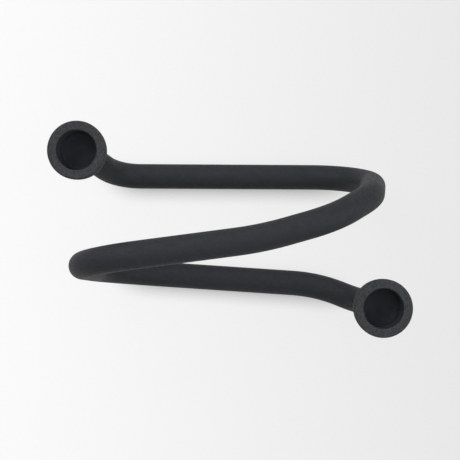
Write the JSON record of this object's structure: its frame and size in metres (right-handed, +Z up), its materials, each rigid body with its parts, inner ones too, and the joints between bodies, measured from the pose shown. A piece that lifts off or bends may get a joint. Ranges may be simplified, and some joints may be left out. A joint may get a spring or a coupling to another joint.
{
  "type": "candle holder",
  "caption": "Taper candle holder bent from one matte black tube into a standing open spiral, with an upright thick-rimmed candle cup on each end.",
  "frame": {"origin": "on the table, midway between the two candle cups, which is the middle of the bounding box's base", "axes": "+X to the right along the coil, from the left cup towards the right one; +Y to the rear, towards the left cup; +Z up, along the candle bores"},
  "size_m": [0.2098, 0.1246, 0.12],
  "materials": {
    "powder_coat_tube": "matte fine-texture black powder coat on steel tube",
    "powder_coat_cup": "matte fine-texture black powder coat on turned steel",
    "zinc_hardware": "zinc plated steel",
    "black_screw": "black oxide steel"
  },
  "bodies": {
    "root": {"spiral_tube": "powder_coat_tube", "candle_cup_left": "powder_coat_cup", "candle_cup_right": "powder_coat_cup", "tube_insert_left": "zinc_hardware", "tube_insert_right": "zinc_hardware", "lock_washer_left": "zinc_hardware", "lock_washer_right": "zinc_hardware", "cup_screw_left": "black_screw", "cup_screw_right": "black_screw"}
  },
  "joints": []
}
